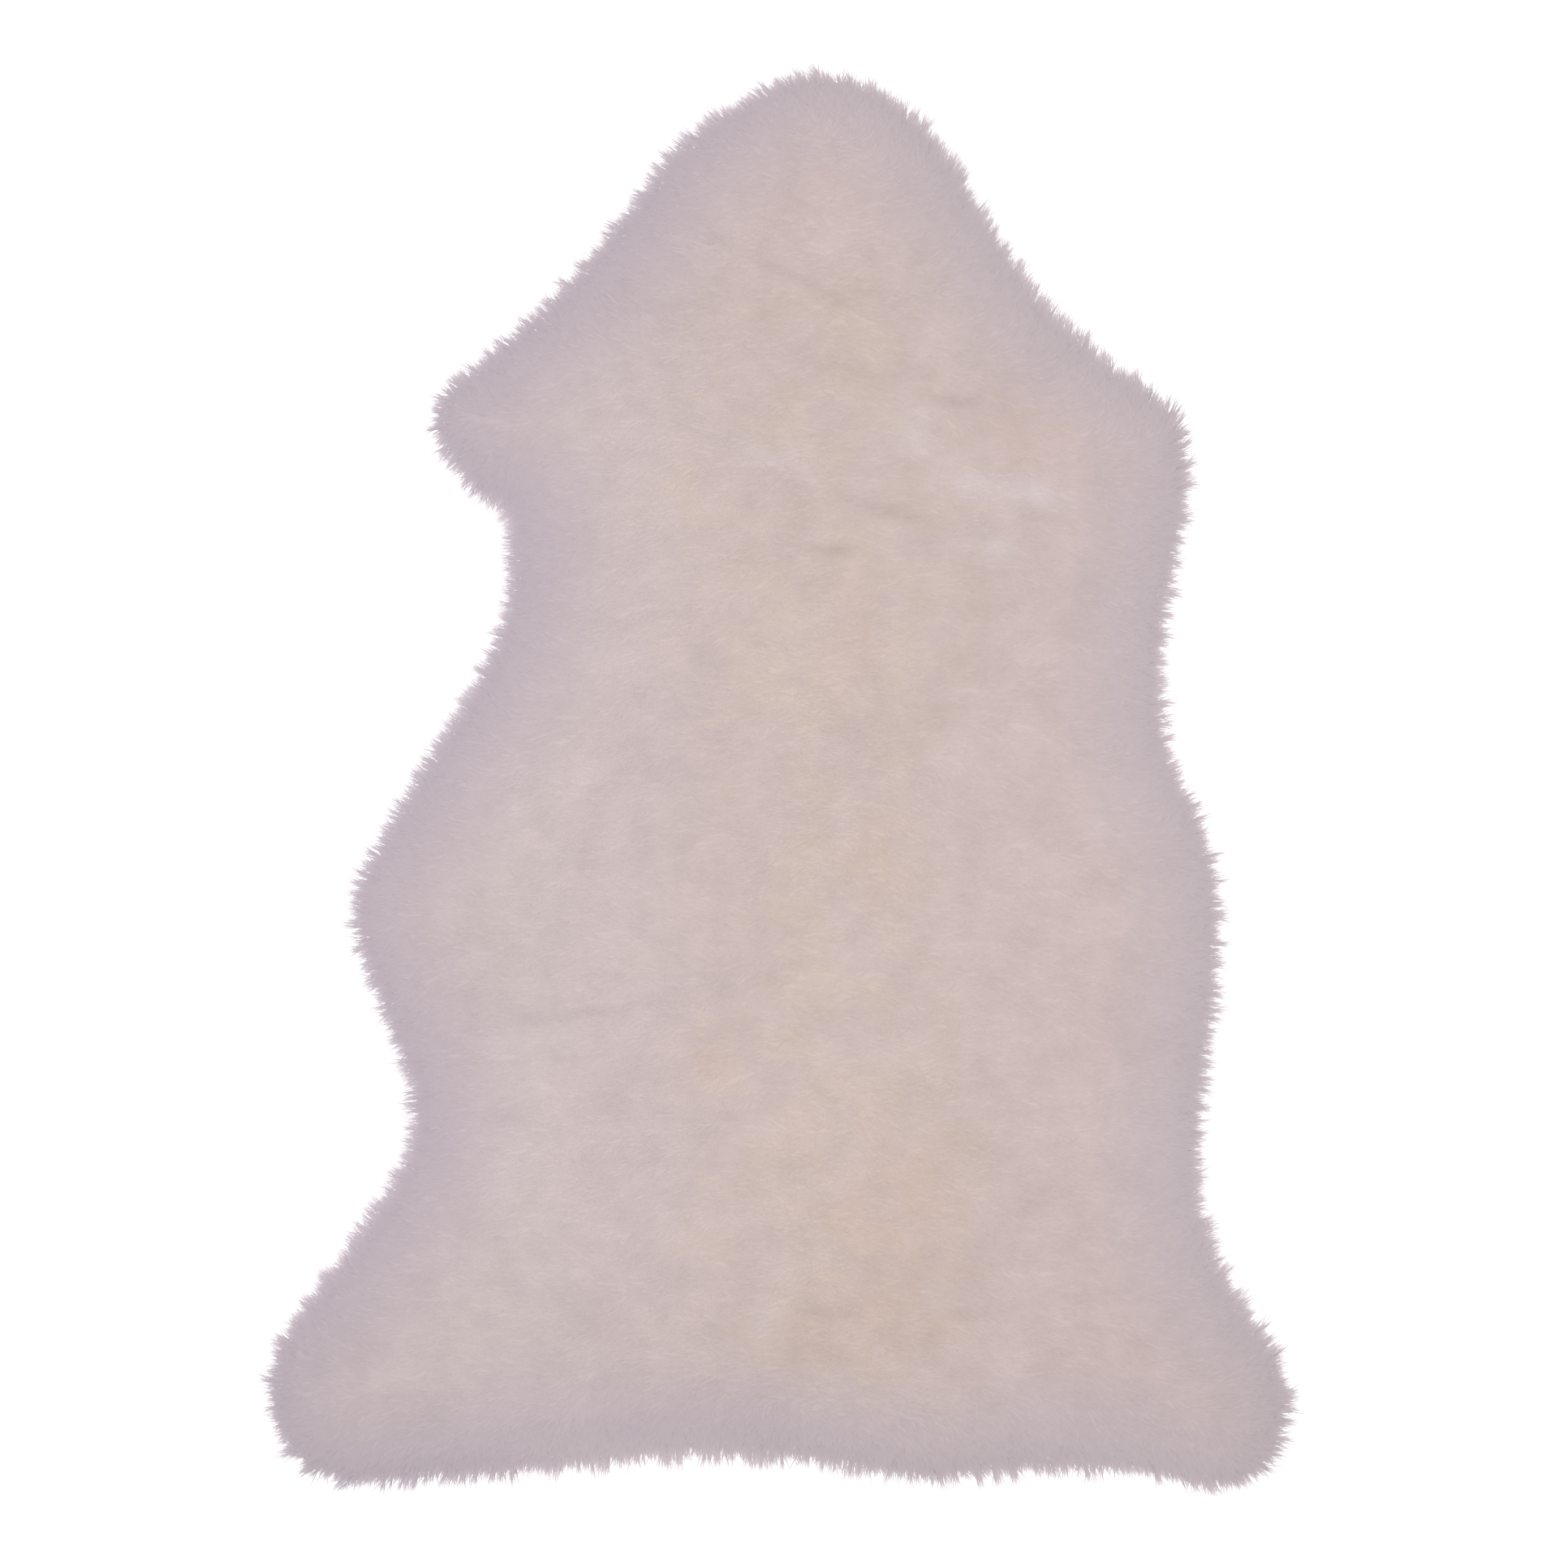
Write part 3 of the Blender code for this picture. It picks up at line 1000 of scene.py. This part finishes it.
def wool_shade(board, place, broad, small, on_locks):
    """How light the wool is at each spot, as a factor on its colour."""
    along = board.node("ShaderNodeSeparateXYZ", {}, (place,)).also("Y")
    stretched = board.node("ShaderNodeVectorMath", {"operation": "MULTIPLY"}, (place, WISP_STRETCH))
    wisps = board.node("ShaderNodeTexNoise", {}, {"Vector": stretched, "Scale": WISP_SCALE, "Detail": 2.0})
    mottle = (wisps - 0.5) * WISP_MOTTLE + (small - 0.5) * SMALL_MOTTLE + (broad - 0.5) * BROAD_MOTTLE
    # Painted shade: the creases are darkened.
    shade = BASE_SHADE - board.mark("crease") * CREASE_SHADE
    shade = shade + mottle * (1.0 - board.mark("rim") * MOTTLE_LOST_AT_RIM)
    shade = shade - (1.0 - along.ramp(*RUMP_TO_BACK)) * RUMP_SHADE - along.ramp(*BACK_TO_NECK) * NECK_SHADE
    if on_locks:
        tip = board.mark("tip")
        # Painted shade: each lock is darker at its root and lighter at its tip.
        shade = shade + board.mark("tint") * TINT_STRENGTH + (tip - TIP_MIDDLE) * ROOT_SHADE_STRENGTH
        # Painted light: the tips round the edge are lightened as if lit from behind.
        shade = shade + tip**3.0 * board.mark("fringe") * FRINGE_PAINTED_GLOW
    return shade


# %% [markdown]
# The wool itself is matt, with a trace of sheen. The locks also have fibres: a noise drawn out along each
# lock feeds a Bump node. They are too fine to see one by one, and break up the light within a lock.

# %% Wool material
BROAD_SCALE = 14.0
SMALL_SCALE = 42.0
WOOL_ROUGHNESS = 0.95
WOOL_SPECULAR = 0.2
WOOL_SHEEN = 0.08
FIBRE_SCALE = 4500.0
FIBRE_STRETCH = (1.0, 0.08, 1.0)
FIBRE_STRENGTH = 0.25
FIBRE_DEPTH = 0.00015


def fibre_bump(board):
    fibre_map = board.node("ShaderNodeUVMap", {"uv_map": "fibre"})
    drawn_out = board.node("ShaderNodeVectorMath", {"operation": "MULTIPLY"}, (fibre_map, FIBRE_STRETCH))
    fibres = board.node("ShaderNodeTexNoise", {}, {"Vector": drawn_out, "Scale": FIBRE_SCALE, "Detail": 1.0})
    sockets = {"Strength": FIBRE_STRENGTH, "Distance": FIBRE_DEPTH, "Height": fibres}
    return board.node("ShaderNodeBump", {}, sockets)


def wool_material(name, on_locks):
    material = bpy.data.materials.new(name)
    material.use_nodes = True
    links = material.node_tree.links
    board = Board(material.node_tree)
    place = board.node("ShaderNodeTexCoord").also("Object")
    broad = board.node("ShaderNodeTexNoise", {}, {"Vector": place, "Scale": BROAD_SCALE, "Detail": 2.0})
    small = board.node("ShaderNodeTexNoise", {}, {"Vector": place, "Scale": SMALL_SCALE, "Detail": 2.0})
    shade = wool_shade(board, place, broad, small, on_locks)
    greys = board.node("ShaderNodeCombineXYZ", {}, (shade, shade, shade))
    factors = (wool_colour(board, place, broad, small), greys)
    colour = board.node("ShaderNodeVectorMath", {"operation": "MULTIPLY"}, factors)
    shader = material.node_tree.nodes["Principled BSDF"]
    links.new(colour.socket, shader.inputs["Base Color"])
    shader.inputs["Roughness"].default_value = WOOL_ROUGHNESS
    shader.inputs["Specular IOR Level"].default_value = WOOL_SPECULAR
    shader.inputs["Sheen Weight"].default_value = WOOL_SHEEN
    if on_locks:
        links.new(fibre_bump(board).socket, shader.inputs["Normal"])
    print(name, len(material.node_tree.nodes), "nodes")
    return material


lock_wool = wool_material("lock_wool", True)
for piece in fleece:
    piece.data.materials.append(lock_wool)
underwool.data.materials.append(wool_material("underwool", False))

# %% [markdown]
# The flesh side is suede: a napped, matt leather in a warm straw colour, with darker clouds where the tanning
# took unevenly and faint veins. Fine noise through a Bump node makes the nap.

# %% Suede material
STRAW = linear(214, 198, 176)
BUFF = linear(196, 176, 150)
CLOUD_SCALE = 9.0
CLOUD_EDGES = (0.35, 0.70)
CLOUD_SHARE = 0.8
VEIN_SCALE = 14.0
VEIN_EDGES = (0.75, 1.1)
VEIN_SHARE = 0.2
NAP_SCALE = 900.0
NAP_STRENGTH = 0.35
NAP_DEPTH = 0.0006
CLOUD_RELIEF = 2.0
SUEDE_ROUGHNESS = 0.80
ROUGHNESS_BY_NAP = 0.18
SUEDE_SHEEN = 0.15

suede = bpy.data.materials.new("suede")
suede.use_nodes = True
board = Board(suede.node_tree)
place = board.node("ShaderNodeTexCoord").also("Object")
vein_kind = {"noise_type": "RIDGED_MULTIFRACTAL"}
clouds = board.node("ShaderNodeTexNoise", {}, {"Vector": place, "Scale": CLOUD_SCALE, "Detail": 5.0})
veins = board.node("ShaderNodeTexNoise", vein_kind, {"Vector": place, "Scale": VEIN_SCALE})
nap = board.node("ShaderNodeTexNoise", {}, {"Vector": place, "Scale": NAP_SCALE, "Detail": 3.0})
share = clouds.ramp(*CLOUD_EDGES) * CLOUD_SHARE + veins.ramp(*VEIN_EDGES) * VEIN_SHARE
relief = nap + clouds * CLOUD_RELIEF
bump_sockets = {"Strength": NAP_STRENGTH, "Distance": NAP_DEPTH, "Height": relief}
suede_bump = board.node("ShaderNodeBump", {}, bump_sockets)
suede_shader = suede.node_tree.nodes["Principled BSDF"]
suede.node_tree.links.new(board.mix(share, STRAW, BUFF).socket, suede_shader.inputs["Base Color"])
suede.node_tree.links.new((SUEDE_ROUGHNESS + nap * ROUGHNESS_BY_NAP).socket, suede_shader.inputs["Roughness"])
suede.node_tree.links.new(suede_bump.socket, suede_shader.inputs["Normal"])
suede_shader.inputs["Sheen Weight"].default_value = SUEDE_SHEEN
hide.data.materials.append(suede)
print("suede", len(suede.node_tree.nodes), "nodes")

# %% [markdown]
# Last, each piece is tied to the frame. The wool pieces and the hide ride on the pelt's one body, and the
# imported body itself is hidden.

# %% Ride and finish
wool_pieces = [underwool, *fleece]
for piece in wool_pieces:
    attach(piece, "root")
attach(hide, "root")
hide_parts("sheepskin")
print("triangles in all", sum(triangles(piece) for piece in [hide, *wool_pieces]))
